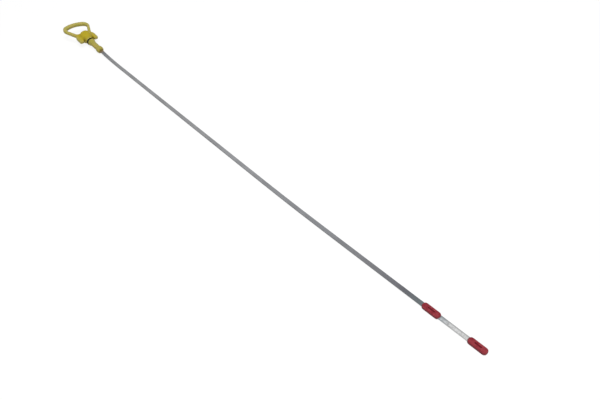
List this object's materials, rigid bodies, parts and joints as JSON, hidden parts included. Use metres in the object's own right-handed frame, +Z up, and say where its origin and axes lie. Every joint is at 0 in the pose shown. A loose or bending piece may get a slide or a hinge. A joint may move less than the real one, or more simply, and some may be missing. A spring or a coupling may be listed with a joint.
{
  "type": "engine oil dipstick",
  "caption": "Engine oil dipstick: a flat steel strip with red level markers near its tip and a yellow moulded handle with a finger loop and a rubber seal ring.",
  "frame": {"origin": "midway between the finger loop's end and the tip, on the bench the part lies on", "axes": "+X along the handle from the finger loop to the tip, +Y across the strip, +Z up from the bench"},
  "size_m": [0.643, 0.0346, 0.0166],
  "materials": {
    "handle_plastic": "satin moulded",
    "seal_rubber": "matt",
    "strip_steel": "rolled",
    "marker_plastic": "satin moulded"
  },
  "bodies": {
    "root": {"handle": "handle_plastic", "seal_ring": "seal_rubber", "blade": "strip_steel", "max_marker": "marker_plastic", "min_marker": "marker_plastic"}
  },
  "joints": []
}
